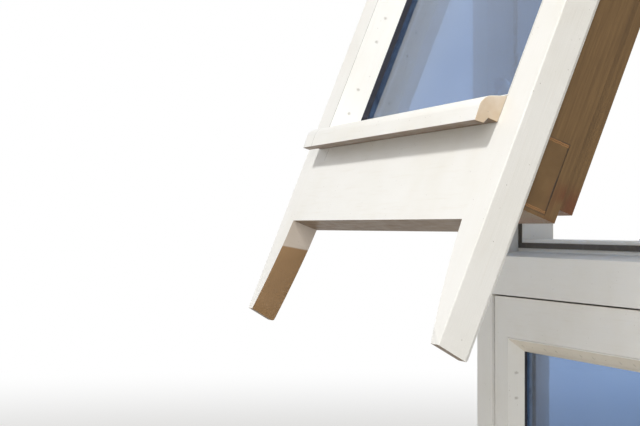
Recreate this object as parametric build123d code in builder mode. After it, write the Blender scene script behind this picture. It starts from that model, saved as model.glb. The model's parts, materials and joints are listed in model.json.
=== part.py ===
from build123d import *
import os
from dataclasses import dataclass
from math import radians, tan

os.makedirs("parts", exist_ok=True)

# A top-hung mock sash window in its timber frame, in millimetres.
# X runs along the wall, +Y points indoors and +Z points up.
# The origin is the middle of the sill's underside, in line with the frame's outer face.
# The opening sash is drawn shut and then swung about its hinge pins to where it stands open.

# Opening sash: a front lip that laps over the frame, a core in the frame's rebate, and an inner
# step inside the frame's stops
sash_width = 560.0
sash_height = 580.0
open_angle = 21.8
lip_thickness = 28.0
core_thickness = 32.0
inner_step = 18.0
side_recess = 11.0
foot_recess = 20.0
stile_face = 45.0
top_rail_face = 45.0
bottom_rail_face = 105.0
lip_round = 1.2
back_arris = 3.0

# Horns: the stiles' lips run on below the bottom rail
horn_length = 106.5
horn_shoulder_drop = 21.5
horn_shoulder_width = 42.0
horn_belly_drop = 60.0
horn_belly_width = 31.5
horn_tip_width = 14.0
horn_cut_angle = 9.5
horn_round = 2.5

# Drip mould: how far each corner stands out from the rail and above the mould's inner lower edge
mould_back_height = 23.0
mould_shoulder = (12.5, 18.0)
mould_brow = (17.6, 13.7)
mould_nose = (19.6, 7.0)
mould_toe = (18.9, -5.9)
mould_drip = (11.0, -5.1)
mould_throat = (9.0, 0.0)

# Glazing of both sashes
glass_cover = 15.0
bead_nose = 1.5
bead_groove = 0.7
pane_thickness = 4.0
unit_thickness = 14.0
unit_edge_gap = 3.0
edge_seal_width = 3.0
spacer_width = 6.5
back_tape = 2.0
sash_bead_depth = 26.0
sash_front_tape = 6.0
lower_bead_depth = 14.0
lower_front_tape = 3.0
pin_radius = 0.7
pin_bite = 8.0
pin_start = 24.0
pin_steps = (28.0, 56.0)
block_length = 30.0
block_inset = 70.0

# Joints between stiles and rails
sash_tenon_thickness = 21.0
lower_tenon_thickness = 14.0
tenon_gap = 0.4
tenon_margin = 6.0
tenon_height_share = 0.62
wedge_rise = 2.6

# Frame
frame_depth = 70.0
jamb_face = 56.0
head_face = 56.0
stop_height = 14.0
face_gap = 1.5
seal_gap = 2.5
side_gap = 2.5
foot_gap = 4.0
transom_face = 48.0
weathering_angle = 8.0
sill_height = 60.0
sill_projection = 45.0
sill_nosing_round = 3.0
throat_radius = 3.5
throat_inset = 9.0
frame_tenon_thickness = 16.0
frame_tenon_width = 26.0
frame_tenon_length = 30.0
transom_tenon_length = 25.0
mortise_end_gap = 1.0
fixing_hole_radius = 4.0
fixing_hole_inset = 15.0
fixing_hole_low = 110.0
fixing_hole_spacing = 300.0
seal_width = 6.0
seal_thickness = 2.0

# Fixed lower sash
lower_opening_height = 470.0
lower_front_inset = 3.0
lower_thickness = 45.0
lower_side_gap = 2.0
lower_top_rail_face = 45.0
lower_bottom_rail_face = 80.0

# Hinges
hinge_inset = 90.0
hinge_length = 75.0
hinge_drop = 6.0
knuckle_radius = 5.0
knuckle_standoff = 0.5
knuckle_share = 0.33
knuckle_gap = 0.3
hinge_pin_radius = 2.0
pin_clearance = 0.05
pin_head_radius = 3.2
pin_head_height = 1.5
leaf_thickness = 2.0
frame_leaf_height = 24.0
sash_leaf_setback = 1.0
leaf_relief = 0.6
leaf_screw_inset = 9.0
frame_leaf_screw_rise = 14.0
sash_leaf_screw_out = 8.0

# Screws
screw_head_radius = 3.6
screw_head_height = 1.9
screw_radius = 1.75
screw_clearance = 0.05
screw_slot_width = 0.8
screw_slot_depth = 0.8
short_screw_length = 16.0
long_screw_length = 58.0

# Fastener on the bottom rail, with its hooked keep on the transom
fastener_rise = 72.0
fastener_plate_width = 18.0
fastener_plate_height = 52.0
fastener_plate_thickness = 3.0
fastener_screw_rise = 18.0
stud_radius = 4.0
stud_cap_radius = 6.5
stud_cap_height = 2.0
hub_radius = 9.0
hub_length = 8.0
hub_gap = 0.3
lever_length = 98.0
lever_root_width = 13.0
lever_tip_width = 9.0
lever_thickness = 6.0
knob_radius = 7.5
tongue_length = 38.0
tongue_width = 10.0
tongue_thickness = 3.5
tongue_gap = 0.5
keep_length = 46.0
keep_depth = 17.0
keep_thickness = 2.0
keep_hook_length = 20.0
keep_hook_height = 10.0
keep_screw_spacing = 34.0
keep_screw_inset = 10.0

# Levels and widths that follow from those sizes
lip_front = -(lip_thickness + face_gap)
lip_back = -face_gap
sash_back = lip_back + core_thickness
sash_inside = sash_back + inner_step
sash_seat = sash_back + seal_gap
keep_front = sash_inside + seal_gap
lower_back = lower_front_inset + lower_thickness
sash_half = sash_width / 2
core_half = sash_half - side_recess
wall_half = sash_half - stile_face
sight_half = wall_half - glass_cover
rebate_half = core_half + side_gap
stop_half = rebate_half - stop_height
frame_half = rebate_half + jamb_face - stop_height
lower_half = rebate_half - lower_side_gap
lower_ceiling = sill_height + lower_opening_height
transom_floor = lower_ceiling + transom_face
core_low = transom_floor + foot_gap
sash_low = core_low - foot_recess
sash_high = sash_low + sash_height
core_high = sash_high - side_recess
head_ceiling = core_high + side_gap
frame_height = head_ceiling + head_face - stop_height
ledge = transom_floor + stop_height
step_half = stop_half - side_gap
step_low = ledge + foot_gap
step_high = head_ceiling - stop_height - side_gap
hinge_y = -(knuckle_radius + knuckle_standoff)
hinge_z = sash_high + hinge_drop
hinge_axis = Axis((0, hinge_y, hinge_z), (-1, 0, 0))
fastener_z = sash_low + fastener_rise


@dataclass
class Leaf:
    """The sizes that a glazed sash's pieces share. Heights and depths are places, not lengths."""

    name: str
    front: float
    core_front: float
    back: float
    inside: float
    outer_half: float
    low: float
    high: float
    floor: float
    ceiling: float
    bead_depth: float
    front_tape: float
    tenon_front: float
    tenon_thickness: float
    wedge: float
    swing: float

    @property
    def glass_front(self):
        return self.front + self.bead_depth + self.front_tape

    @property
    def cover_front(self):
        return self.glass_front + unit_thickness + back_tape

    @property
    def rail_tenon(self):
        """Lowest and highest level of the bottom rail's tenons."""
        base = self.low + tenon_margin
        return base, base + tenon_height_share * (self.floor - self.low)

    @property
    def top_tenon(self):
        """Lowest and highest level of the top rail's tenons."""
        base = self.ceiling + tenon_margin
        return base, base + tenon_height_share * (self.high - self.ceiling)


upper = Leaf(
    name="sash",
    front=lip_front,
    core_front=lip_back,
    back=sash_back,
    inside=sash_inside,
    outer_half=core_half,
    low=core_low,
    high=core_high,
    floor=sash_low + bottom_rail_face,
    ceiling=sash_high - top_rail_face,
    bead_depth=sash_bead_depth,
    front_tape=sash_front_tape,
    tenon_front=lip_back + tenon_gap,
    tenon_thickness=sash_tenon_thickness,
    wedge=wedge_rise,
    swing=open_angle,
)
lower = Leaf(
    name="lower",
    front=lower_front_inset,
    core_front=lower_front_inset,
    back=lower_back,
    inside=lower_back,
    outer_half=lower_half,
    low=sill_height,
    high=lower_ceiling - lower_side_gap,
    floor=sill_height + lower_bottom_rail_face,
    ceiling=lower_ceiling - lower_side_gap - lower_top_rail_face,
    bead_depth=lower_bead_depth,
    front_tape=lower_front_tape,
    tenon_front=(lower_front_inset + lower_back - lower_tenon_thickness) / 2,
    tenon_thickness=lower_tenon_thickness,
    wedge=0.0,
    swing=0.0,
)


def finish(piece, name, swing=0.0):
    """Swing a finished piece about the hinge pins, label it and write it."""
    placed = piece.part.rotate(hinge_axis, swing)
    placed.label = name
    export_step(placed, f"parts/{name}.step")


def section_plane(x):
    """Plane across the width at x. Its X points indoors and its Y up."""
    return Plane(origin=(x, 0, 0), x_dir=(0, 1, 0), z_dir=(1, 0, 0))


def front_plane(y):
    """Upright plane at y that faces outdoors. Its X runs along the wall and its Y up."""
    return Plane(origin=(0, y, 0), x_dir=(1, 0, 0), z_dir=(0, -1, 0))


def block(corner, opposite, mode=Mode.ADD):
    """Box between two corners, in the part that is being made."""
    middle = tuple((a + b) / 2 for a, b in zip(corner, opposite))
    with Locations(middle):
        Box(*[abs(b - a) for a, b in zip(corner, opposite)], mode=mode)


def prism(plane, points, length, mode=Mode.ADD):
    """Straight-sided outline on a plane, extruded into the part that is being made."""
    with BuildSketch(plane) as outline:
        with BuildLine():
            Polyline(*points, close=True)
        make_face()
    extrude(outline.sketch, amount=length, mode=mode)


def rod(plane, centre, radius, length, mode=Mode.ADD):
    """Round bar or bore on a plane, in the part that is being made."""
    with BuildSketch(plane) as outline:
        with Locations(centre):
            Circle(radius)
    extrude(outline.sketch, amount=length, mode=mode)


def screws(seats, length, grow=0.0, mode=Mode.ADD):
    """Countersunk screws, flush with their seats. With grow above 0, the room for them."""
    top = (Align.CENTER, Align.CENTER, Align.MAX)
    with Locations(*seats):
        Cone(screw_radius + grow, screw_head_radius + grow, screw_head_height, align=top, mode=mode)
        Cylinder(screw_radius + grow, length + grow, align=top, mode=mode)
        if not grow:
            Box(2 * screw_head_radius, screw_slot_width, screw_slot_depth, align=top, mode=Mode.SUBTRACT)


def screw_room(seats, length):
    """Cut the room for countersunk screws out of the part that is being made."""
    screws(seats, length, grow=screw_clearance, mode=Mode.SUBTRACT)


def pin_places(run):
    """Places of the bead pins along a bead, in pairs as a hand-nailed bead has them."""
    places, at, turn = [], pin_start, 0
    while at < run - pin_start:
        places.append(at)
        at += pin_steps[turn % len(pin_steps)]
        turn += 1
    return places


def bead_planes(leaf):
    """For each side of the glass: a plane at the bead's start and the bead's length."""
    wide, tall = 2 * wall_half, leaf.ceiling - leaf.floor
    y = leaf.front
    return {
        "left": (Plane((-wall_half, y, leaf.floor), (1, 0, 0), (0, 0, 1)), tall),
        "right": (Plane((wall_half, y, leaf.ceiling), (-1, 0, 0), (0, 0, -1)), tall),
        "top": (Plane((-wall_half, y, leaf.ceiling), (0, 0, -1), (1, 0, 0)), wide),
        "bottom": (Plane((wall_half, y, leaf.floor), (0, 0, 1), (-1, 0, 0)), wide),
    }


def pins(leaf, side, grow=0.0, mode=Mode.ADD):
    """Pins through one bead into the timber. With grow above 0, the holes for them."""
    start, run = bead_planes(leaf)[side]
    depth = leaf.bead_depth / 2
    skin = (bead_nose + glass_cover) / 2
    for along in pin_places(run):
        head = start.from_local_coords((skin, depth, along))
        with Locations(Plane(head, z_dir=start.x_dir)):
            Cylinder(
                pin_radius + grow,
                skin + pin_bite + grow,
                align=(Align.CENTER, Align.CENTER, Align.MAX),
                mode=mode,
            )


def pin_holes(leaf, side):
    """Cut the holes for one bead's pins out of the part that is being made."""
    pins(leaf, side, grow=pin_clearance, mode=Mode.SUBTRACT)


def mortise(leaf, side, levels):
    """Cut a through mortise that flares towards the stile's outer edge."""
    low, high = levels
    inner, outer = side * wall_half, side * leaf.outer_half
    points = [(inner, low), (inner, high), (outer, high + leaf.wedge), (outer, low - leaf.wedge)]
    start = front_plane(leaf.tenon_front - tenon_gap)
    prism(start, points, -(leaf.tenon_thickness + 2 * tenon_gap), Mode.SUBTRACT)


def tenons(leaf, levels):
    """Add a rail's two tenons, flush with the stiles' outer edges."""
    low, high = levels
    for side in (-1, 1):
        near = (side * wall_half, leaf.tenon_front, low)
        block(near, (side * leaf.outer_half, leaf.tenon_front + leaf.tenon_thickness, high))


def stile_core(leaf, side):
    """Add a stile's core and inner step, with the glass rebate and the tenons' mortises."""
    outer = side * leaf.outer_half
    block((side * wall_half, leaf.core_front, leaf.low), (outer, leaf.cover_front, leaf.high))
    block((side * sight_half, leaf.cover_front, leaf.low), (outer, leaf.back, leaf.high))
    if leaf.inside > leaf.back:
        step_from = (side * sight_half, leaf.back, step_low)
        block(step_from, (side * step_half, leaf.inside, step_high))
    mortise(leaf, side, leaf.rail_tenon)
    mortise(leaf, side, leaf.top_tenon)
    pin_holes(leaf, "left" if side < 0 else "right")


def bottom_rail_core(leaf):
    """Add a bottom rail's core and inner step, with the glass rebate and the tenons."""
    block((-wall_half, leaf.core_front, leaf.low), (wall_half, leaf.cover_front, leaf.floor))
    behind = leaf.floor + glass_cover
    block((-sight_half, leaf.cover_front, leaf.low), (sight_half, leaf.back, behind))
    if leaf.inside > leaf.back:
        block((-sight_half, leaf.back, step_low), (sight_half, leaf.inside, behind))
    tenons(leaf, leaf.rail_tenon)
    pin_holes(leaf, "bottom")


def top_rail_core(leaf):
    """Add a top rail's core and inner step, with the glass rebate and the tenons."""
    block((-wall_half, leaf.core_front, leaf.ceiling), (wall_half, leaf.cover_front, leaf.high))
    behind = leaf.ceiling - glass_cover
    block((-sight_half, leaf.cover_front, behind), (sight_half, leaf.back, leaf.high))
    if leaf.inside > leaf.back:
        block((-sight_half, leaf.back, behind), (sight_half, leaf.inside, step_high))
    tenons(leaf, leaf.top_tenon)
    pin_holes(leaf, "top")


def bead(leaf, side):
    """One splayed glazing bead, mitred at both ends."""
    start, run = bead_planes(leaf)[side]
    end = start.offset(run)
    with BuildPart() as piece:
        outline = [
            (0, bead_groove),
            (bead_groove, 0),
            (bead_nose, 0),
            (glass_cover, leaf.bead_depth),
            (0, leaf.bead_depth),
        ]
        prism(start, outline, run)
        split(bisect_by=Plane(start.origin, z_dir=start.z_dir - start.x_dir), keep=Keep.TOP)
        split(bisect_by=Plane(end.origin, z_dir=-start.z_dir - start.x_dir), keep=Keep.TOP)
        pin_holes(leaf, side)
    finish(piece, f"{leaf.name}_bead_{side}", leaf.swing)


def ring(leaf, inset, width, front, depth, name):
    """Flat frame of one section round the glass, such as a tape or a spacer."""
    middle = (0, (leaf.floor + leaf.ceiling) / 2)
    wide = 2 * (wall_half - inset)
    tall = leaf.ceiling - leaf.floor - 2 * inset
    with BuildPart() as piece:
        with BuildSketch(front_plane(front)) as outline:
            with Locations(middle):
                Rectangle(wide, tall)
                Rectangle(wide - 2 * width, tall - 2 * width, mode=Mode.SUBTRACT)
        extrude(outline.sketch, amount=-depth)
    finish(piece, name, leaf.swing)


def pane(leaf, front, name):
    """One sheet of glass of the sealed unit."""
    half = wall_half - unit_edge_gap
    with BuildPart() as piece:
        block(
            (-half, front, leaf.floor + unit_edge_gap),
            (half, front + pane_thickness, leaf.ceiling - unit_edge_gap),
        )
    finish(piece, name, leaf.swing)


def glazing(leaf):
    """Sealed unit, tapes, setting blocks, beads and pins of one sash."""
    inner_pane = leaf.glass_front + unit_thickness - pane_thickness
    cavity = leaf.glass_front + pane_thickness
    cavity_depth = unit_thickness - 2 * pane_thickness
    spacer_inset = unit_edge_gap + edge_seal_width
    bead_back = leaf.front + leaf.bead_depth
    pane(leaf, leaf.glass_front, f"{leaf.name}_outer_pane")
    pane(leaf, inner_pane, f"{leaf.name}_inner_pane")
    ring(leaf, unit_edge_gap, edge_seal_width, cavity, cavity_depth, f"{leaf.name}_edge_seal")
    ring(leaf, spacer_inset, spacer_width, cavity, cavity_depth, f"{leaf.name}_spacer")
    ring(leaf, 0, glass_cover, bead_back, leaf.front_tape, f"{leaf.name}_front_tape")
    ring(leaf, 0, glass_cover, leaf.cover_front - back_tape, back_tape, f"{leaf.name}_back_tape")
    for side in ("left", "right", "top", "bottom"):
        bead(leaf, side)
    with BuildPart() as nails:
        for side in ("left", "right", "top", "bottom"):
            pins(leaf, side)
    finish(nails, f"{leaf.name}_bead_pins", leaf.swing)
    with BuildPart() as blocks:
        for side in (-1, 1):
            near = side * (wall_half - block_inset)
            block(
                (near, leaf.glass_front, leaf.floor),
                (near - side * block_length, leaf.glass_front + unit_thickness, leaf.floor + unit_edge_gap),
            )
    finish(blocks, f"{leaf.name}_setting_blocks", leaf.swing)


# Places of the screws, each a plane on the surface that the screw's head is flush with
hinge_centres = (-(sash_half - hinge_inset), sash_half - hinge_inset)
leaf_reach = hinge_length / 2 - leaf_screw_inset
frame_leaf_seats = [
    Plane((centre + shift, -leaf_thickness, hinge_z + frame_leaf_screw_rise), z_dir=(0, -1, 0))
    for centre in hinge_centres
    for shift in (-leaf_reach, 0, leaf_reach)
]
sash_leaf_seats = [
    Plane((centre + shift, lip_front + sash_leaf_screw_out, sash_high + leaf_thickness))
    for centre in hinge_centres
    for shift in (-leaf_reach, 0, leaf_reach)
]
keep_seats = [
    Plane((side * keep_screw_spacing / 2, keep_front + keep_screw_inset, ledge + keep_thickness))
    for side in (-1, 1)
]
fastener_seats = [
    Plane((0, sash_inside + fastener_plate_thickness, fastener_z + rise), z_dir=(0, 1, 0))
    for rise in (-fastener_screw_rise, fastener_screw_rise)
]
lower_screw_depth = lower.glass_front + unit_thickness / 2
lower_screw_levels = (lower.floor + block_inset, lower.ceiling - block_inset)
lower_seats = [
    Plane((side * wall_half, lower_screw_depth, level), z_dir=(-side, 0, 0))
    for side in (-1, 1)
    for level in lower_screw_levels
]

# Frame


def jamb_foot_tenon(side, end_gap=0.0):
    """Corners of the tenon between a jamb and the sill, or of its mortise."""
    middle = side * (rebate_half + frame_half) / 2
    half = frame_tenon_width / 2
    front = (lower_back - frame_tenon_thickness) / 2
    return (
        (middle - half, front, sill_height - frame_tenon_length - end_gap),
        (middle + half, front + frame_tenon_thickness, sill_height),
    )


def jamb_head_tenon(side, end_gap=0.0):
    """Corners of the tenon between a jamb and the head, or of its mortise."""
    middle = side * (rebate_half + frame_half) / 2
    half = frame_tenon_width / 2
    front = (sash_seat + frame_depth - frame_tenon_thickness) / 2
    shoulder = head_ceiling - stop_height
    return (
        (middle - half, front, shoulder),
        (middle + half, front + frame_tenon_thickness, shoulder + frame_tenon_length + end_gap),
    )


def transom_tenon(side, end_gap=0.0):
    """Corners of the tenon between the transom and a jamb, or of its mortise."""
    front = (sash_seat - frame_tenon_thickness) / 2
    middle = lower_ceiling + transom_face / 2
    half = frame_tenon_width / 2
    return (
        (side * rebate_half, front, middle - half),
        (
            side * (rebate_half + transom_tenon_length + end_gap),
            front + frame_tenon_thickness,
            middle + half,
        ),
    )


def jamb(side, name):
    """One jamb, side -1 on the left and 1 on the right, with its feet cut to the sill and head."""
    corners = [
        (frame_half, 0),
        (rebate_half, 0),
        (rebate_half, sash_seat),
        (stop_half, sash_seat),
        (stop_half, frame_depth),
        (frame_half, frame_depth),
    ]
    with BuildPart() as piece:
        section = [(side * x, y) for x, y in corners]
        prism(Plane.XY.offset(sill_height), section, head_ceiling - sill_height)
        deeper_from = (side * stop_half, sash_seat, sill_height)
        block(deeper_from, (side * rebate_half, lower_back, lower_ceiling), Mode.SUBTRACT)
        foot_from = (side * stop_half, lower_back, sill_height)
        block(foot_from, (side * frame_half, frame_depth, sill_height + stop_height), Mode.SUBTRACT)
        top_from = (side * stop_half, sash_seat, head_ceiling - stop_height)
        block(top_from, (side * frame_half, frame_depth, head_ceiling), Mode.SUBTRACT)
        block(*jamb_foot_tenon(side))
        block(*jamb_head_tenon(side))
        block(*transom_tenon(side, mortise_end_gap), Mode.SUBTRACT)
        for rise in (0, fixing_hole_spacing):
            hole = (fixing_hole_inset, transom_floor + fixing_hole_low + rise)
            rod(section_plane(side * rebate_half), hole, fixing_hole_radius,
                side * (frame_half - rebate_half), Mode.SUBTRACT)
        screw_room(lower_seats, long_screw_length)
    finish(piece, name)


jamb(-1, "left_jamb")
jamb(1, "right_jamb")

with BuildPart() as head:
    prism(
        section_plane(-frame_half),
        [
            (0, head_ceiling),
            (0, frame_height),
            (frame_depth, frame_height),
            (frame_depth, head_ceiling - stop_height),
            (sash_seat, head_ceiling - stop_height),
            (sash_seat, head_ceiling),
        ],
        2 * frame_half,
    )
    for side in (-1, 1):
        block(*jamb_head_tenon(side, mortise_end_gap), Mode.SUBTRACT)
    screw_room(frame_leaf_seats, short_screw_length)
finish(head, "head")

with BuildPart() as transom:
    prism(
        section_plane(-rebate_half),
        [
            (0, lower_ceiling),
            (0, transom_floor - sash_seat * tan(radians(weathering_angle))),
            (sash_seat, transom_floor),
            (sash_seat, ledge),
            (frame_depth, ledge),
            (frame_depth, lower_ceiling - stop_height),
            (lower_back, lower_ceiling - stop_height),
            (lower_back, lower_ceiling),
        ],
        2 * rebate_half,
    )
    for side in (-1, 1):
        stop_from = (side * stop_half, sash_seat, lower_ceiling - stop_height)
        block(stop_from, (side * rebate_half, frame_depth, ledge), Mode.SUBTRACT)
        block(*transom_tenon(side))
    screw_room(keep_seats, short_screw_length)
finish(transom, "transom")

with BuildPart() as sill:
    nosing_top = sill_height - sill_projection * tan(radians(weathering_angle))
    with BuildSketch(section_plane(-frame_half)) as sill_section:
        with BuildLine():
            Polyline(
                (-sill_projection, 0),
                (-sill_projection, nosing_top),
                (0, sill_height),
                (lower_back, sill_height),
                (lower_back, sill_height + stop_height),
                (frame_depth, sill_height + stop_height),
                (frame_depth, 0),
                close=True,
            )
        make_face()
        fillet(sill_section.vertices().sort_by(Axis.Y).group_by(Axis.Y)[0].sort_by(Axis.Z)[-1],
               sill_nosing_round)
        with Locations((throat_inset - sill_projection, 0)):
            Circle(throat_radius, mode=Mode.SUBTRACT)
    extrude(amount=2 * frame_half)
    for side in (-1, 1):
        block(*jamb_foot_tenon(side, mortise_end_gap), Mode.SUBTRACT)
finish(sill, "sill")

with BuildPart() as weather_seal:
    seal_inset = (stop_height - seal_width) / 2
    opening_middle = (0, (transom_floor + head_ceiling) / 2)
    opening_tall = head_ceiling - transom_floor
    with BuildSketch(front_plane(sash_seat)):
        with Locations(opening_middle):
            Rectangle(2 * (rebate_half - seal_inset), opening_tall - 2 * seal_inset)
            Rectangle(
                2 * (rebate_half - seal_inset - seal_width),
                opening_tall - 2 * (seal_inset + seal_width),
                mode=Mode.SUBTRACT,
            )
    extrude(amount=seal_thickness)
finish(weather_seal, "weather_seal")

# Fixed lower sash


def lower_stile(side, name):
    """One stile of the fixed lower sash."""
    with BuildPart() as piece:
        stile_core(lower, side)
        screw_room(lower_seats, long_screw_length)
    finish(piece, name)


lower_stile(-1, "lower_left_stile")
lower_stile(1, "lower_right_stile")

with BuildPart() as lower_bottom_rail:
    bottom_rail_core(lower)
finish(lower_bottom_rail, "lower_bottom_rail")

with BuildPart() as lower_top_rail:
    top_rail_core(lower)
finish(lower_top_rail, "lower_top_rail")

with BuildPart() as lower_fixing_screws:
    screws(lower_seats, long_screw_length)
finish(lower_fixing_screws, "lower_fixing_screws")

glazing(lower)

# Opening sash


def opening_stile(side, name):
    """One stile of the opening sash, with its horn, side -1 on the left and 1 on the right."""
    tip = sash_low - horn_length
    outer, inner = side * sash_half, side * wall_half
    shoulder = (side * (sash_half - horn_shoulder_width), sash_low - horn_shoulder_drop)
    belly = (side * (sash_half - horn_belly_width), sash_low - horn_belly_drop)
    toe = (side * (sash_half - horn_tip_width), tip)
    with BuildPart() as piece:
        with BuildSketch(front_plane(lip_front)):
            with BuildLine():
                Polyline(shoulder, (inner, sash_low), (inner, sash_high), (outer, sash_high), (outer, tip))
                Line((outer, tip), toe)
                ThreePointArc(toe, belly, shoulder)
            make_face()
        extrude(amount=-lip_thickness)
        front_edges = piece.faces().sort_by(Axis.Y)[0].edges()
        outer_arris = front_edges.filter_by(Axis.Z).sort_by(lambda edge: side * edge.center().X)[-1]
        back_edges = piece.faces().sort_by(Axis.Y)[-1].edges()
        rear_arris = back_edges.filter_by(Axis.Z).sort_by(lambda edge: side * edge.center().X)[-1]
        fillet(outer_arris, lip_round)
        chamfer(rear_arris, back_arris)
        cut = Plane((0, lip_back, tip), x_dir=(1, 0, 0), z_dir=(0, tan(radians(horn_cut_angle)), 1))
        split(bisect_by=cut, keep=Keep.TOP)
        fillet(piece.edges().filter_by(Axis.X).group_by(Axis.Z)[0], horn_round)
        stile_core(upper, side)
    finish(piece, name, open_angle)


opening_stile(-1, "left_stile")
opening_stile(1, "right_stile")

with BuildPart() as top_rail:
    block((-wall_half, lip_front, upper.ceiling), (wall_half, lip_back, sash_high))
    top_rail_core(upper)
    screw_room(sash_leaf_seats, short_screw_length)
finish(top_rail, "top_rail", open_angle)

with BuildPart() as bottom_rail:
    block((-wall_half, lip_front, sash_low), (wall_half, lip_back, upper.floor))
    bottom_rail_core(upper)
    screw_room(fastener_seats, short_screw_length)
finish(bottom_rail, "bottom_rail", open_angle)

with BuildPart() as drip_mould:
    mould_base = upper.floor - mould_back_height

    def mould_point(corner):
        """Place on the mould's section: out from the rail's face and up from its soffit."""
        out, up = corner
        return lip_front - out, mould_base + up

    with BuildSketch(section_plane(-wall_half)):
        with BuildLine():
            Polyline(
                mould_point(mould_nose),
                mould_point(mould_toe),
                mould_point(mould_drip),
                mould_point(mould_throat),
                mould_point((0, 0)),
                mould_point((0, mould_back_height)),
                mould_point(mould_shoulder),
            )
            ThreePointArc(
                mould_point(mould_shoulder), mould_point(mould_brow), mould_point(mould_nose)
            )
        make_face()
    extrude(amount=2 * wall_half)
finish(drip_mould, "drip_mould", open_angle)

with BuildPart() as tenon_wedges:
    for side in (-1, 1):
        for low, high in (upper.rail_tenon, upper.top_tenon):
            for level, rise in ((low, -wedge_rise), (high, wedge_rise)):
                outer = side * core_half
                points = [(side * wall_half, level), (outer, level), (outer, level + rise)]
                prism(front_plane(upper.tenon_front), points, -upper.tenon_thickness)
finish(tenon_wedges, "tenon_wedges", open_angle)

glazing(upper)

# Hinges


def hinge_spans(centre):
    """X ranges of a hinge's knuckles: the middle one is the sash's and the outer two the frame's."""
    middle = hinge_length * knuckle_share / 2
    end = hinge_length / 2
    return {
        "sash": [(centre - middle, centre + middle)],
        "frame": [
            (centre - end, centre - middle - knuckle_gap),
            (centre + middle + knuckle_gap, centre + end),
        ],
    }


def frame_leaf(centre, name):
    """Hinge leaf on the frame's head."""
    spans = hinge_spans(centre)
    end = hinge_length / 2
    with BuildPart() as piece:
        top = hinge_z + frame_leaf_height
        block((centre - end, -leaf_thickness, hinge_z), (centre + end, 0, top))
        low, high = spans["sash"][0]
        room = hinge_z + knuckle_radius + leaf_relief
        near = (low - knuckle_gap, -leaf_thickness, hinge_z)
        block(near, (high + knuckle_gap, 0, room), Mode.SUBTRACT)
        for low, high in spans["frame"]:
            rod(section_plane(low), (hinge_y, hinge_z), knuckle_radius, high - low)
        rod(section_plane(centre - end), (hinge_y, hinge_z), hinge_pin_radius + pin_clearance,
            hinge_length, Mode.SUBTRACT)
        screw_room(frame_leaf_seats, short_screw_length)
    finish(piece, name)


def sash_leaf(centre, name):
    """Hinge leaf on the sash's top edge."""
    spans = hinge_spans(centre)
    end = hinge_length / 2
    with BuildPart() as piece:
        front = lip_front + sash_leaf_setback
        top = sash_high + leaf_thickness
        block((centre - end, front, sash_high), (centre + end, hinge_y, top))
        room = hinge_y - knuckle_radius - leaf_relief
        for low, high in spans["frame"]:
            inner, outer = sorted((low, high), key=lambda x: abs(x - centre))
            step = knuckle_gap if inner > centre else -knuckle_gap
            block((inner - step, room, sash_high), (outer, hinge_y, top), Mode.SUBTRACT)
        low, high = spans["sash"][0]
        rod(section_plane(low), (hinge_y, hinge_z), knuckle_radius, high - low)
        rod(section_plane(low), (hinge_y, hinge_z), hinge_pin_radius + pin_clearance,
            high - low, Mode.SUBTRACT)
        screw_room(sash_leaf_seats, short_screw_length)
    finish(piece, name, open_angle)


def hinge_pin(centre, name):
    """Hinge pin with a head at each end."""
    end = hinge_length / 2
    with BuildPart() as piece:
        rod(section_plane(centre - end), (hinge_y, hinge_z), hinge_pin_radius, hinge_length)
        for start in (centre - end - pin_head_height, centre + end):
            rod(section_plane(start), (hinge_y, hinge_z), pin_head_radius, pin_head_height)
    finish(piece, name)


for centre, side_name in zip(hinge_centres, ("left", "right")):
    frame_leaf(centre, f"{side_name}_frame_leaf")
    sash_leaf(centre, f"{side_name}_sash_leaf")
    hinge_pin(centre, f"{side_name}_hinge_pin")

with BuildPart() as frame_leaf_screws:
    screws(frame_leaf_seats, short_screw_length)
finish(frame_leaf_screws, "frame_leaf_screws")

with BuildPart() as sash_leaf_screws:
    screws(sash_leaf_seats, short_screw_length)
finish(sash_leaf_screws, "sash_leaf_screws", open_angle)

# Fastener and keep
plate_face = sash_inside + fastener_plate_thickness
hub_start = plate_face + hub_gap
hook_back = keep_front + keep_thickness

with BuildPart() as fastener_plate:
    with BuildSketch(front_plane(sash_inside)):
        with Locations((0, fastener_z)):
            SlotCenterToCenter(fastener_plate_height - fastener_plate_width, fastener_plate_width,
                               rotation=90)
    extrude(amount=-fastener_plate_thickness)
    screw_room(fastener_seats, short_screw_length)
    stud_length = hub_gap + hub_length + hub_gap
    rod(front_plane(plate_face), (0, fastener_z), stud_radius, -stud_length)
finish(fastener_plate, "fastener_plate", open_angle)

with BuildPart() as fastener_cap:
    cap_start = plate_face + stud_length
    rod(front_plane(cap_start), (0, fastener_z), stud_cap_radius, -stud_cap_height)
    fillet(fastener_cap.faces().sort_by(Axis.Y)[-1].edges(), stud_cap_height / 2)
finish(fastener_cap, "fastener_cap", open_angle)

with BuildPart() as fastener_screws:
    screws(fastener_seats, short_screw_length)
finish(fastener_screws, "fastener_screws", open_angle)

with BuildPart() as handle:
    rod(front_plane(hub_start), (0, fastener_z), hub_radius, -hub_length)
    lever_start = hub_start + hub_length - lever_thickness
    lever_end = fastener_z + lever_length
    lever_outline = [
        (-lever_root_width / 2, fastener_z),
        (lever_root_width / 2, fastener_z),
        (lever_tip_width / 2, lever_end),
        (-lever_tip_width / 2, lever_end),
    ]
    prism(front_plane(lever_start), lever_outline, -lever_thickness)
    with Locations((0, lever_start + lever_thickness / 2, lever_end)):
        Sphere(knob_radius)
    tongue_start = hook_back + tongue_gap
    block(
        (0, tongue_start, fastener_z - tongue_width / 2),
        (tongue_length, tongue_start + tongue_thickness, fastener_z + tongue_width / 2),
    )
    rod(front_plane(hub_start), (0, fastener_z), stud_radius + pin_clearance, -hub_length, Mode.SUBTRACT)
finish(handle, "handle", open_angle)

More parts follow.
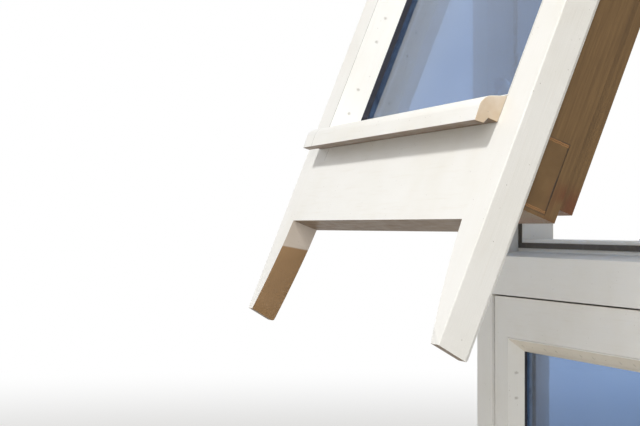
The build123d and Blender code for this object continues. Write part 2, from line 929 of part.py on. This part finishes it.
with BuildPart() as keep:
    half = keep_length / 2
    block((-half, keep_front, ledge), (half, keep_front + keep_depth, ledge + keep_thickness))
    hook = keep_hook_length / 2
    block((-hook, keep_front, ledge), (hook, hook_back, ledge + keep_hook_height))
    screw_room(keep_seats, short_screw_length)
finish(keep, "keep")

with BuildPart() as keep_screws:
    screws(keep_seats, short_screw_length)
finish(keep_screws, "keep_screws")
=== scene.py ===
import json
from math import radians

import bpy
from mathutils import Matrix, Vector


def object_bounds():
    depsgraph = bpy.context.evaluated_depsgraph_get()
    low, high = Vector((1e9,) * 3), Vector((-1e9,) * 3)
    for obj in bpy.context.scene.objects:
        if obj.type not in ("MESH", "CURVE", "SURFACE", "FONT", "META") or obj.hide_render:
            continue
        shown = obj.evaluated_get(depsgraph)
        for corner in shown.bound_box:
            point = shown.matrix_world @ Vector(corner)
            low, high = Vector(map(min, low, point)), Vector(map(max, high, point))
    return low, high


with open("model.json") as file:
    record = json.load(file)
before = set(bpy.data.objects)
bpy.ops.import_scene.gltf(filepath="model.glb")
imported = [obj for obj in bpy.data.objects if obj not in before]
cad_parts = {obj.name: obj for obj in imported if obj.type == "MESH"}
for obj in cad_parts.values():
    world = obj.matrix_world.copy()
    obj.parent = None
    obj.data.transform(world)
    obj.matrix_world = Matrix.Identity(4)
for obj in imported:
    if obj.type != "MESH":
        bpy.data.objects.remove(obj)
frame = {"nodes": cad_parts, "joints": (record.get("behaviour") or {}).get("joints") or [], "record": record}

cad_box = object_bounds()
nodes = frame["nodes"]
joints = {joint["name"]: joint for joint in frame["joints"]}
slots = {entry["node"]: entry["material_slot"] for entry in frame["record"]["subparts"]}

# The sash stands open at rest. Shut, it would be back by the lower end of its hinge's range.
hinge = joints["sash_hinge"]
open_angle = -radians(hinge["range_deg"][0])
hinge_place = Vector(hinge["pos_m"])
MM = 0.001


def rgba(red, green, blue):
    """A colour written in the screen's values from 0 to 255."""
    def linear(value):
        share = value / 255
        return share / 12.92 if share <= 0.04045 else ((share + 0.055) / 1.055) ** 2.4
    return (linear(red), linear(green), linear(blue), 1.0)


# Camera, from the photo's vanishing point and the sash's edges: metres, degrees, lens and sensor in mm
CAMERA_PLACE = Vector((1.3824, -0.7193, 0.6081))
CAMERA_TURN = 17.296
CAMERA_TILT = 0.433
CAMERA_LENS = 88.77
CAMERA_SENSOR = 36.0
CAMERA_REACH = 100.0

# Light: each lamp's place, size, power and colour, and how strongly the white world lights the part
LAMP_AIM = Vector((0.0, -0.12, 0.75))
KEY_DIRECTION = Vector((0.20, -0.50, 0.84))
KEY_DISTANCE = 4.0
KEY_PLACE = LAMP_AIM + KEY_DIRECTION.normalized() * KEY_DISTANCE
LAMPS = {
    "key": (KEY_PLACE, 0.45, 110.0, (1.0, 0.99, 0.965)),
    "side": (Vector((3.2, -1.6, 1.9)), 1.6, 44.0, (1.0, 0.985, 0.95)),
    "back": (Vector((-1.4, 3.4, 2.1)), 1.6, 30.0, (1.0, 0.99, 0.97)),
}
FILL_STRENGTH = 0.22

# Floor, which fades to white between two distances from the part
FLOOR_SIZE = 60.0
FLOOR_DROP = 0.5 * MM
FLOOR_FADE = (0.8, 5.2)
FLOOR_WAVES = 30.0
FLOOR_TONES = (rgba(236, 233, 227), rgba(240, 238, 233))

# Paint, its stains and its wear, and the shade painted onto it
CREAM = rgba(246, 245, 242)
CREAM_AGED = rgba(238, 235, 227)
BEAD_CREAM = rgba(249, 248, 244)
# Stain along the grain, and painted shade on the frame's and beads' undersides
STAIN_AND_SHADE = rgba(206, 190, 162)
# Painted shade on the opening sash's undersides
UNDER_SHADE = rgba(100, 72, 38)
# Painted shade, brown, on the sash's outer edges, darker still at their foot
EDGE_SHADE_BROWN = rgba(106, 80, 46)
EDGE_SHADE_TAN = rgba(132, 104, 67)
FOOT_SHADE = rgba(104, 58, 30)
# Painted shade on the horns' inner faces
HORN_SHADE = rgba(148, 110, 60)
# Painted shade on the mould's cut ends
END_SHADE = rgba(190, 158, 112)
# Dark specks and filler round the pins, and painted shade in the hollows
GRIME_AND_SHADE = rgba(118, 106, 90)
CRACK = rgba(66, 54, 42)

# Other materials: glass, bare end grain, plastic, rubber and how dust pales it, and metal with its
# roughness and drawn lines
# Blue tints and sheen of the glass: a painted reflection of a blue sky
GLASS_SKY_TINTS = (rgba(158, 182, 213), rgba(172, 193, 220))
GLASS_SKY_SHEEN = rgba(178, 201, 237)
END_GRAIN = (rgba(158, 116, 70), rgba(118, 84, 50))
BLOCK_GREY = rgba(64, 66, 70)
RUBBERS = {
    "glazing_tape": rgba(52, 52, 60),
    "edge_sealant": rgba(40, 40, 42),
    "weather_seal": rgba(70, 64, 58),
}
DUST_GAIN = 2.6
DUST_LIFT = 0.01
METALS = {
    "spacer_metal": (rgba(232, 233, 233), 0.5, "x"),
    "pin_steel": (rgba(224, 217, 205), 0.6, "x"),
    "screw_steel": (rgba(188, 188, 186), 0.34, "x"),
    "hinge_steel": (rgba(186, 187, 187), 0.34, "x"),
    "fastener_metal": (rgba(198, 198, 196), 0.34, "z"),
}

# How a face must lie to count as facing sideways, and from where to where as looking down
FACES_ASIDE = 0.6
LOOKS_DOWN = (0.3, 0.8)

# Waves to the metre, along and across the timber's grain and metal's drawn lines
GRAIN_WAVES = {"x": (18, 420, 420), "z": (420, 420, 18)}
LINE_WAVES = {"x": (60, 2600, 2600), "z": (2600, 2600, 60)}

# The shut sash's lip, its inner step, and the brown painted shade on its edges, darker at their foot
LIP_THICKNESS = 28 * MM
LIP_MARGIN = 0.2 * MM
STEP_HALF = 0.250
RIM_WIDTH = 1.3 * MM
STREAK_SHARE = 0.7
FOOT_HEIGHT = 40 * MM
FOOT_SHADE_RISE = 22 * MM
FOOT_SHADE_DEPTH = (12 * MM, 34 * MM)

# The horns' insides, in painted shade: how far the paler, painted sunlit part reaches below the rail, and
# how it slopes and fades
LIT_REACH = 22 * MM
LIT_SLOPE = 0.2
LIT_FADE = 2 * MM

# Hairlines: round the tenon and its wedges, up the stiles' fronts, and across the mould and the rail
WEDGE_RISE = 2.6 * MM
END_MARGIN = 0.1 * MM
TENON_LINE = 1.0 * MM
JOINT_LINE = 0.9 * MM
JOINT_SHARE = 0.6
JOINT_DEPTH = 1.5 * MM
CRACK_LINE = 0.45 * MM
CRACK_SHARE = 0.75
CRACK_INSET = 30 * MM
CRACK_DROP = 8 * MM
LINE_CORE = 0.4
LINE_WOBBLE = 0.6 * MM

# How far in front of the lip the mould's ends, tinted as painted shade, begin
MOULD_MARGIN = 0.5 * MM

# Filler round the bead pins, and how far a pin may stand from its row's first one
FILLER_FADE = (0.7 * MM, 2.3 * MM)
FILLER_WOBBLE = 2.4 * MM
ROW_WIDTH = 8 * MM

# Rounded arrises in mm, by the end of a node's name
ARRISES = {"stile": 1.0, "rail": 0.6, "jamb": 1.6, "head": 1.6, "sill": 2.0, "transom": 1.4,
           "drip_mould": 0.9, "bead_left": 0.4, "bead_right": 0.4, "bead_top": 0.4, "bead_bottom": 0.4,
           "handle": 0.8, "keep": 0.5, "leaf": 0.35, "plate": 0.5}
ARRIS_SEGMENTS = 3
ARRIS_ANGLE = 35
WELD_REACH = 0.00001

# Words in the names of nodes whose grain stands upright
UPRIGHT = ("stile", "jamb", "bead_left", "bead_right")


def shut_matrix():
    """Turns a place at rest back to where it is with the sash shut."""
    to_hinge = Matrix.Translation(-hinge_place)
    back = Matrix.Translation(hinge_place)
    return back @ Matrix.Rotation(open_angle, 4, Vector((1, 0, 0))) @ to_hinge


SHUT = shut_matrix()


def shut_box(node):
    """Lowest and highest corner of a sash's node, with the sash shut."""
    points = [SHUT @ vertex.co for vertex in nodes[node].data.vertices]
    low = Vector(min(p[i] for p in points) for i in range(3))
    high = Vector(max(p[i] for p in points) for i in range(3))
    return low, high


def darker(tone, share):
    """A share of a colour's light."""
    return tuple(value * share for value in tone[:3]) + (1.0,)


def seen_rays(tree):
    """1 for what the camera sees, in mirrors and through glass too, and 0 for what only lights."""
    path = tree.nodes.new("ShaderNodeLightPath")
    seen = path.outputs["Is Camera Ray"]
    for ray in ("Is Glossy Ray", "Is Transmission Ray"):
        either = tree.nodes.new("ShaderNodeMath")
        either.operation = "MAXIMUM"
        tree.links.new(seen, either.inputs[0])
        tree.links.new(path.outputs[ray], either.inputs[1])
        seen = either.outputs[0]
    return seen


class Graph:
    """One material's node tree, with short calls to add nodes and join them."""

    def __init__(self, name):
        self.material = bpy.data.materials.new(name)
        self.material.use_nodes = True
        self.tree = self.material.node_tree
        self.shader = self.tree.nodes["Principled BSDF"]

    def join(self, value, socket):
        """Link a socket, or set a plain value."""
        if isinstance(value, bpy.types.NodeSocket):
            self.tree.links.new(value, socket)
        else:
            socket.default_value = value

    def add(self, kind, inputs=None, **settings):
        """A node with its settings and inputs."""
        node = self.tree.nodes.new(kind)
        for key, value in settings.items():
            setattr(node, key, value)
        for key, value in (inputs or {}).items():
            self.join(value, node.inputs[key])
        return node

    def shade(self, inputs):
        """Set the shader's own inputs, and give back the material."""
        for key, value in inputs.items():
            self.join(value, self.shader.inputs[key])
        return self.material

    def math(self, operation, first, second=0.0, third=0.0):
        """A sum, product, comparison or the like."""
        inputs = {0: first, 1: second, 2: third}
        return self.add("ShaderNodeMath", inputs, operation=operation).outputs[0]

    def ramp(self, value, low, high):
        """0 below low, 1 above high, and a smooth rise between."""
        inputs = {"Value": value, "From Min": low, "From Max": high}
        node = self.add("ShaderNodeMapRange", inputs, interpolation_type="SMOOTHSTEP")
        return node.outputs["Result"]

    def between(self, share, low, high):
        """Low where the share is 0, high where it is 1."""
        return self.math("MULTIPLY_ADD", share, high - low, low)

    def rest_of(self, share):
        """What a share leaves of 1."""
        return self.math("SUBTRACT", 1.0, share)

    def both(self, *shares):
        """Product of several shares between 0 and 1."""
        total = shares[0]
        for share in shares[1:]:
            total = self.math("MULTIPLY", total, share)
        return total

    def above(self, value, level):
        """1 where the value is above the level."""
        return self.math("GREATER_THAN", value, level)

    def below(self, value, level):
        """1 where the value is below the level."""
        return self.math("LESS_THAN", value, level)

    def wobble(self, noise, width):
        """A noise between 0 and 1 as a small push to either side."""
        return self.both(self.math("SUBTRACT", noise, 0.5), width)

    def mix(self, share, first, second):
        """A colour between two colours."""
        node = self.add("ShaderNodeMix", data_type="RGBA")
        self.join(share, node.inputs["Factor"])
        self.join(first, node.inputs["A"])
        self.join(second, node.inputs["B"])
        return node.outputs["Result"]

    def noise(self, place, waves, detail=3.0, roughness=0.5):
        """Soft random pattern between 0 and 1, with so many waves to the metre."""
        inputs = {"Vector": place, "Scale": waves, "Detail": detail, "Roughness": roughness}
        return self.add("ShaderNodeTexNoise", inputs).outputs["Fac"]

    def stretched(self, place, waves, detail=3.0, roughness=0.5):
        """Soft random pattern with its own number of waves along each axis."""
        scaled = self.add("ShaderNodeMapping", {"Vector": place, "Scale": waves}).outputs["Vector"]
        return self.noise(scaled, 1.0, detail, roughness)

    def bump(self, height, depth, strength=1.0, normal=None):
        """Relief of a given depth in metres."""
        node = self.add("ShaderNodeBump", {"Height": height, "Distance": depth, "Strength": strength})
        if normal is not None:
            self.join(normal, node.inputs["Normal"])
        return node.outputs["Normal"]

    def place(self, swung):
        """Object coordinates, turned back to the shut sash where the node swings with it."""
        spot = self.add("ShaderNodeTexCoord").outputs["Object"]
        if not swung:
            return spot
        turn = SHUT.to_euler("XYZ")
        inputs = {"Vector": spot, "Location": SHUT.translation, "Rotation": turn}
        return self.add("ShaderNodeMapping", inputs, vector_type="POINT").outputs["Vector"]

    def facing(self, swung):
        """The object's own normal, turned back to the shut sash, as its X, Y and Z."""
        normal = self.add("ShaderNodeTexCoord").outputs["Normal"]
        if swung:
            inputs = {"Vector": normal, "Rotation": SHUT.to_euler("XYZ")}
            normal = self.add("ShaderNodeMapping", inputs, vector_type="VECTOR").outputs["Vector"]
        return self.add("ShaderNodeSeparateXYZ", {"Vector": normal}).outputs


class Timber(Graph):
    """Brushed satin paint on timber, which wears and stains, with shade painted on by where a face is and
    how it lies.
    """

    def __init__(self, name, tone, along, swung):
        super().__init__(name)
        self.spot = self.place(swung)
        axes = self.add("ShaderNodeSeparateXYZ", {"Vector": self.spot}).outputs
        self.x, self.y, self.z = axes["X"], axes["Y"], axes["Z"]
        self.half = self.math("ABSOLUTE", self.x)
        normal = self.facing(swung)
        outward = self.math("MULTIPLY", normal["X"], self.math("SIGN", self.x))
        self.outward = self.above(outward, FACES_ASIDE)
        self.inward = self.below(outward, -FACES_ASIDE)
        self.downward = self.ramp(self.math("MULTIPLY", normal["Z"], -1.0), *LOOKS_DOWN)
        self.slow = self.noise(self.spot, waves=9.0, detail=4.0)
        self.grain = self.stretched(self.spot, GRAIN_WAVES[along], detail=5.0, roughness=0.6)
        self.patchy = self.noise(self.spot, waves=38.0, detail=5.0)
        self.colour = tone
        self.layer(CREAM_AGED, self.ramp(self.slow, low=0.42, high=0.80), most=0.7)
        self.layer(STAIN_AND_SHADE, self.ramp(self.grain, low=0.52, high=0.80), most=0.09)

    def layer(self, tone, *shares, most=None):
        """Lay another colour over the paint, by the product of the shares and at most so strongly."""
        share = self.both(*shares) if most is None else self.both(*shares, most)
        self.colour = self.mix(share, self.colour, tone)

    def undersides_stain_and_shade(self, tone, most):
        """Stain and painted shade on faces that look down."""
        patches = self.between(self.ramp(self.patchy, low=0.25, high=0.75), low=0.92, high=1.0)
        self.layer(tone, self.downward, patches, most=most)

    def specks(self):
        """A few tiny dark specks, and grime with painted shade in the hollows."""
        inputs = {"Vector": self.spot, "Scale": 210.0, "Randomness": 1.0}
        cells = self.add("ShaderNodeTexVoronoi", inputs).outputs["Distance"]
        dot = self.rest_of(self.ramp(cells, low=0.05, high=0.12))
        rare = self.above(self.noise(self.spot, waves=55.0, detail=1.0), level=0.60)
        self.layer(GRIME_AND_SHADE, dot, rare, most=0.5)
        # Painted shade with grime, darker where the hollow is deep
        hollow_shade = self.add("ShaderNodeAmbientOcclusion", {"Distance": 8 * MM}, samples=8).outputs["AO"]
        self.layer(GRIME_AND_SHADE, self.ramp(self.rest_of(hollow_shade), low=0.45, high=0.95), most=0.4)

    def sash_edge_shade(self, levels, upright):
        """Painted shade, brown and streaked, on the stiles' outer edges behind the lip and on the core's
        foot, darker low down and further back.
        """
        behind = self.above(self.y, levels["lip_back"])
        rim = self.above(self.half, levels["core_half"] - RIM_WIDTH)
        step = self.both(self.outward, self.above(self.half, STEP_HALF))
        foot = self.both(self.downward, self.below(self.z, levels["foot"]))
        side = self.math("MAXIMUM", rim, step)
        edge = self.both(self.math("MAXIMUM", side, foot), behind)
        # Painted shade in two browns, streaked
        streaks = self.ramp(self.grain if upright else self.patchy, low=0.30, high=0.72)
        brown = self.mix(self.both(streaks, STREAK_SHARE), EDGE_SHADE_BROWN, EDGE_SHADE_TAN)
        self.layer(brown, edge)
        # Darker painted shade low on the edges and further back
        low = self.rest_of(self.ramp(self.z, levels["foot"], levels["foot"] + FOOT_SHADE_RISE))
        inner = self.ramp(self.y, *(levels["lip_back"] + depth for depth in FOOT_SHADE_DEPTH))
        self.layer(FOOT_SHADE, edge, low, inner, self.ramp(self.patchy, low=0.3, high=0.6), most=0.85)
        self.tenon_outline(levels["tenon"], self.both(rim, behind))

    def tenon_outline(self, box, share):
        """A dark broken line round the tenon's end grain and its wedges."""
        off = None
        for axis, (low, high) in zip((self.y, self.z), box):
            apart = self.math("ABSOLUTE", self.math("SUBTRACT", axis, (low + high) / 2))
            beyond = self.math("SUBTRACT", apart, (high - low) / 2)
            off = beyond if off is None else self.math("MAXIMUM", off, beyond)
        worn = self.between(self.ramp(self.patchy, low=0.40, high=0.55), low=0.45, high=0.95)
        self.hairline(off, TENON_LINE, share, worn)

    def horn_inside_shade(self, levels):
        """The horns' inner faces in painted shade, with a paler, painted sunlit part next to the rail."""
        under_rail = self.below(self.z, levels["rail_low"])
        slope = self.math("MULTIPLY_ADD", self.y, LIT_SLOPE, levels["rail_low"] - LIT_REACH)
        # Painted light: paler next to the rail, as if sunlit; painted shade below
        worn = self.ramp(self.math("SUBTRACT", slope, self.z), 0.0, LIT_FADE)
        self.layer(HORN_SHADE, self.inward, under_rail, self.between(worn, low=0.48, high=0.94))

    def mould_end_shade(self, levels):
        """The mould's cut ends, tinted tan as painted shade."""
        proud = self.below(self.y, levels["lip_front"] - MOULD_MARGIN)
        patches = self.between(self.ramp(self.patchy, low=0.3, high=0.7), low=0.45, high=0.75)
        self.layer(END_SHADE, self.outward, proud, patches)

    def hairline(self, distance, width, *shares):
        """A thin dark line where the distance is near 0."""
        off = self.math("ABSOLUTE", self.math("ADD", distance, self.wobble(self.patchy, LINE_WOBBLE)))
        line = self.rest_of(self.ramp(off, LINE_CORE * width, width))
        self.layer(CRACK, line, *shares)

    def pin_marks(self, along, marks):
        """Soft spots of filler round the bead pins, which stand in pairs."""
        reach, turning = None, marks["period"] / 2
        for start in marks["starts"]:
            gap = self.math("SUBTRACT", along, start)
            off = self.math("ABSOLUTE", self.math("WRAP", gap, turning, -turning))
            reach = off if reach is None else self.math("MINIMUM", reach, off)
        deep = self.math("SUBTRACT", self.y, marks["depth"])
        square = self.math("ADD", self.math("POWER", reach, 2.0), self.math("MULTIPLY", deep, deep))
        ragged = self.wobble(self.noise(self.spot, waves=500.0), FILLER_WOBBLE)
        radius = self.math("ADD", self.math("SQRT", square), ragged)
        self.layer(GRIME_AND_SHADE, self.rest_of(self.ramp(radius, *FILLER_FADE)), most=0.32)

    def finish(self):
        """Specks, relief and gloss over all the layers."""
        self.specks()
        relief = self.bump(self.noise(self.spot, waves=1100.0, detail=2.0), depth=0.06 * MM)
        relief = self.bump(self.grain, depth=0.18 * MM, normal=relief)
        relief = self.bump(self.slow, depth=1.5 * MM, strength=0.4, normal=relief)
        gloss = self.between(self.ramp(self.grain, low=0.3, high=0.8), low=0.36, high=0.52)
        return self.shade({"Base Color": self.colour, "Normal": relief, "Roughness": gloss,
                           "Specular IOR Level": 0.42})


def frame_paint(name, along, swung):
    """Paint of the frame and of the lower sash."""
    timber = Timber(name, CREAM, along, swung)
    # Stain and painted shade on the undersides
    timber.undersides_stain_and_shade(STAIN_AND_SHADE, most=0.6)
    return timber.finish()


def sash_paint(name, along, swung, levels):
    """Paint of the opening sash."""
    timber = Timber(name, CREAM, along, swung)
    # Painted shade on the undersides
    timber.undersides_stain_and_shade(UNDER_SHADE, most=0.98)
    # Painted shade on the outer edges behind the lip
    timber.sash_edge_shade(levels, along == "z")
    # Painted shade on the horns' inner faces, with a painted sunlit part
    timber.horn_inside_shade(levels)
    if along == "z":
        joint = timber.math("SUBTRACT", timber.half, levels["wall_half"])
        front = timber.below(timber.y, levels["lip_front"] + JOINT_DEPTH)
        above = timber.above(timber.z, levels["rail_high"])
        timber.hairline(joint, JOINT_LINE, front, above, JOINT_SHARE)
    else:
        crack = timber.math("SUBTRACT", timber.x, levels["crack_x"])
        front = timber.below(timber.y, levels["lip_back"])
        above = timber.above(timber.z, levels["crack_low"])
        timber.hairline(crack, CRACK_LINE, front, above, CRACK_SHARE)
        # Painted shade on the mould's cut ends
        timber.mould_end_shade(levels)
    return timber.finish()


def bead_paint(name, along, swung, marks):
    """Paint of the glazing beads, a little brighter, with a spot at each pin."""
    timber = Timber(name, BEAD_CREAM, along, swung)
    # Stain and painted shade on the undersides
    timber.undersides_stain_and_shade(STAIN_AND_SHADE, most=0.6)
    timber.pin_marks(timber.z if along == "z" else timber.x, marks)
    return timber.finish()


def window_glass(name, swung):
    """Float glass tinted blue as a painted reflection of the sky, with faint roller waves and dust."""
    graph = Graph(name)
    place = graph.place(swung)
    rollers = graph.stretched(place, waves=(3.0, 3.0, 11.0), detail=1.0)
    dust = graph.ramp(graph.noise(place, waves=160.0, detail=5.0), low=0.55, high=0.8)
    # Painted sky reflection: patches between two blues
    painted_sky = graph.ramp(graph.stretched(place, waves=(4.0, 4.0, 7.0)), low=0.35, high=0.75)
    return graph.shade({
        "Base Color": graph.mix(painted_sky, *GLASS_SKY_TINTS),
        "Normal": graph.bump(rollers, depth=1.2 * MM, strength=0.35),
        "Roughness": graph.between(dust, low=0.015, high=0.115),
        "Transmission Weight": 1.0,
        "IOR": 1.5,
        "Specular Tint": GLASS_SKY_SHEEN,
    })


def rubber(name, tone, swung):
    """Matt black tape or seal with a faint grain and dust."""
    graph = Graph(name)
    place = graph.place(swung)
    dust = graph.ramp(graph.noise(place, waves=60.0, detail=5.0), low=0.5, high=0.85)
    dusty = tuple(min(1.0, value * DUST_GAIN + DUST_LIFT) for value in tone[:3]) + (1.0,)
    return graph.shade({
        "Base Color": graph.mix(dust, tone, dusty),
        "Normal": graph.bump(graph.noise(place, waves=700.0), depth=0.1 * MM),
        "Roughness": 0.62,
    })


def metal(name, tone, rough, lines, swung):
    """Zinc-plated or satin metal with fine drawn lines and dull patches."""
    graph = Graph(name)
    place = graph.place(swung)
    drawn = graph.stretched(place, LINE_WAVES[lines], detail=4.0)
    patches = graph.noise(place, waves=90.0, detail=5.0)
    dull = graph.ramp(patches, low=0.45, high=0.8)
    return graph.shade({
        "Base Color": graph.mix(dull, tone, darker(tone, 0.62)),
        "Normal": graph.bump(drawn, depth=0.04 * MM),
        "Roughness": graph.between(patches, low=rough - 0.08, high=rough + 0.14),
        "Metallic": 1.0,
    })


def bare_timber(name, swung):
    """End grain under a thin coat: rings and pores."""
    graph = Graph(name)
    place = graph.place(swung)
    inputs = {"Vector": place, "Scale": 240.0, "Distortion": 6.0, "Detail": 3.0}
    rings = graph.add("ShaderNodeTexWave", inputs, wave_type="RINGS").outputs["Fac"]
    pores = graph.noise(place, waves=1500.0, detail=2.0)
    return graph.shade({
        "Base Color": graph.mix(graph.ramp(rings, low=0.2, high=0.9), *END_GRAIN),
        "Normal": graph.bump(pores, depth=0.2 * MM),
        "Roughness": 0.6,
    })


def plastic(name, tone, swung):
    """Plain moulded plastic with a fine spark-eroded grain."""
    graph = Graph(name)
    place = graph.place(swung)
    shade = graph.ramp(graph.noise(place, waves=70.0), low=0.4, high=0.8)
    return graph.shade({
        "Base Color": graph.mix(shade, tone, darker(tone, 0.7)),
        "Normal": graph.bump(graph.noise(place, waves=1400.0, detail=2.0), depth=0.06 * MM),
        "Roughness": 0.5,
    })


def solid_centres(node, turn):
    """The middle of each loose part of a node's mesh, after a turn."""
    mesh = nodes[node].data
    links = {vertex.index: [] for vertex in mesh.vertices}
    for edge in mesh.edges:
        first, second = edge.vertices
        links[first].append(second)
        links[second].append(first)
    unseen, centres = set(links), []
    while unseen:
        group, todo = [], [unseen.pop()]
        while todo:
            index = todo.pop()
            group.append(index)
            near = [other for other in links[index] if other in unseen]
            unseen.difference_update(near)
            todo.extend(near)
        points = [turn @ mesh.vertices[index].co for index in group]
        centres.append(sum(points, Vector()) / len(points))
    return centres


def pin_pattern(node, swung, upright):
    """Where a sash's bead pins stand: two starts, the period and the depth."""
    centres = solid_centres(node, SHUT if swung else Matrix.Identity(4))
    across, along = (0, 2) if upright else (2, 0)
    row_end = min(centre[across] for centre in centres) + ROW_WIDTH
    row = sorted({round(centre[along], 4) for centre in centres if centre[across] < row_end})
    depth = sum(centre.y for centre in centres) / len(centres)
    return {"starts": row[:2], "period": row[2] - row[0], "depth": depth}


def sash_levels():
    """Levels and widths of the shut sash that its paint follows."""
    rail_low, rail_high = shut_box("bottom_rail")
    mould_low, mould_high = shut_box("drip_mould")
    corners = [SHUT @ vertex.co for vertex in nodes["bottom_rail"].data.vertices]
    ends = [corner for corner in corners if corner.x > rail_high.x - END_MARGIN]
    deep, tall = ([corner[axis] for corner in ends] for axis in (1, 2))
    return {
        "lip_front": mould_high.y,
        "lip_back": mould_high.y + LIP_THICKNESS + LIP_MARGIN,
        "core_half": rail_high.x,
        "tenon": ((min(deep), max(deep)), (min(tall) - WEDGE_RISE, max(tall) + WEDGE_RISE)),
        "foot": rail_low.z + FOOT_HEIGHT,
        "rail_low": rail_low.z,
        "rail_high": mould_high.z,
        "wall_half": mould_high.x,
        "crack_x": mould_low.x + CRACK_INSET,
        "crack_low": mould_low.z - CRACK_DROP,
    }


def plain_materials(where, swung):
    """The materials that are the same whichever way a node's grain runs, by their slots."""
    made = {slot: rubber(f"{slot}_{where}", tone, swung) for slot, tone in RUBBERS.items()}
    for slot, (tone, rough, lines) in METALS.items():
        made[slot] = metal(f"{slot}_{where}", tone, rough, lines, swung)
    made["glass"] = window_glass(f"glass_{where}", swung)
    made["setting_block"] = plastic(f"setting_block_{where}", BLOCK_GREY, swung)
    made["wedge_timber"] = bare_timber(f"wedge_timber_{where}", swung)
    return made


def make_materials():
    """Every material that the nodes need, by a key made from slot, grain and body."""
    made = {}
    levels = sash_levels()
    for swung, where in ((False, "still"), (True, "swung")):
        plain = plain_materials(where, swung)
        pins = "sash_bead_pins" if swung else "lower_bead_pins"
        for along in ("x", "z"):
            name = f"{along}_{where}"
            marks = pin_pattern(pins, swung, along == "z")
            made["frame_paint", along, where] = frame_paint(f"frame_paint_{name}", along, swung)
            made["lower_sash_paint", along, where] = frame_paint(f"lower_paint_{name}", along, swung)
            if swung:
                made["sash_paint", along, where] = sash_paint(f"sash_paint_{name}", along, swung, levels)
            made["bead_paint", along, where] = bead_paint(f"bead_paint_{name}", along, swung, marks)
            made.update({(slot, along, where): material for slot, material in plain.items()})
    return made


def soften(node, radius):
    """Round a node's sharp edges a little, as paint and use do."""
    weld = node.modifiers.new("weld", "WELD")
    weld.merge_threshold = WELD_REACH
    bevel = node.modifiers.new("bevel", "BEVEL")
    bevel.width = radius * MM
    bevel.segments = ARRIS_SEGMENTS
    bevel.limit_method = "ANGLE"
    bevel.angle_limit = radians(ARRIS_ANGLE)
    bevel.use_clamp_overlap = True
    bevel.harden_normals = True


def dress_nodes():
    """Give every node its material, and its arrises."""
    materials = make_materials()
    swinging = set(frame["record"]["behaviour"]["bodies"]["sash"]) | {"handle"}
    for name, node in nodes.items():
        where = "swung" if name in swinging else "still"
        along = "z" if any(word in name for word in UPRIGHT) else "x"
        for slot in node.material_slots:
            slot.link = "OBJECT"
            slot.material = materials[slots[name], along, where]
        radii = [radius for ending, radius in ARRISES.items() if name.endswith(ending)]
        if radii:
            soften(node, radii[0])


def make_camera():
    """The photo's camera: level with the bottom rail, looking along the wall and towards it."""
    data = bpy.data.cameras.new("camera")
    data.sensor_width = CAMERA_SENSOR
    data.lens = CAMERA_LENS
    data.clip_end = CAMERA_REACH
    camera = bpy.data.objects.new("camera", data)
    bpy.context.scene.collection.objects.link(camera)
    turn = Matrix.Rotation(radians(90 - CAMERA_TURN), 4, "Z")
    tilt = Matrix.Rotation(radians(90 + CAMERA_TILT), 4, "X")
    camera.matrix_world = Matrix.Translation(CAMERA_PLACE) @ turn @ tilt
    bpy.context.scene.camera = camera


def make_stage():
    """Pale floor under the sill, which turns to the white of the background far away."""
    floor_place = (0, 0, cad_box[0][2] - FLOOR_DROP)
    bpy.ops.mesh.primitive_plane_add(size=FLOOR_SIZE, location=floor_place)
    floor = bpy.context.object
    floor.name = "floor"
    graph = Graph("floor")
    place = graph.add("ShaderNodeTexCoord").outputs["Object"]
    colour = graph.mix(graph.noise(place, FLOOR_WAVES), *FLOOR_TONES)
    graph.shade({"Base Color": colour, "Roughness": 0.9, "Specular IOR Level": 0.1})
    reach = graph.add("ShaderNodeVectorMath", {0: place}, operation="LENGTH").outputs["Value"]
    fade = graph.both(graph.ramp(reach, *FLOOR_FADE), seen_rays(graph.tree))
    white = graph.add("ShaderNodeEmission").outputs[0]
    blend = graph.add("ShaderNodeMixShader", {0: fade, 1: graph.shader.outputs[0], 2: white})
    output = graph.tree.nodes["Material Output"]
    graph.join(blend.outputs[0], output.inputs["Surface"])
    floor.data.materials.append(graph.material)


def make_lamp(name, place, size, power, colour):
    """A square soft lamp that points at the open sash."""
    data = bpy.data.lights.new(name, "AREA")
    data.size = size
    data.energy = power
    data.color = colour
    lamp = bpy.data.objects.new(name, data)
    bpy.context.scene.collection.objects.link(lamp)
    lamp.location = place
    lamp.rotation_euler = (LAMP_AIM - place).to_track_quat("-Z", "Y").to_euler()


def make_world():
    """A world that looks white, and lights the part only weakly."""
    world = bpy.data.worlds.new("world")
    bpy.context.scene.world = world
    world.use_nodes = True
    tree = world.node_tree
    background = tree.nodes["Background"]
    background.inputs["Color"].default_value = (1.0, 1.0, 1.0, 1.0)
    level = tree.nodes.new("ShaderNodeMapRange")
    level.inputs["To Min"].default_value = FILL_STRENGTH
    level.inputs["To Max"].default_value = 1.0
    tree.links.new(seen_rays(tree), level.inputs["Value"])
    tree.links.new(level.outputs["Result"], background.inputs["Strength"])


make_camera()
make_stage()
for lamp_name, lamp_settings in LAMPS.items():
    make_lamp(lamp_name, *lamp_settings)
make_world()
dress_nodes()
bpy.context.scene.view_settings.view_transform = "Standard"
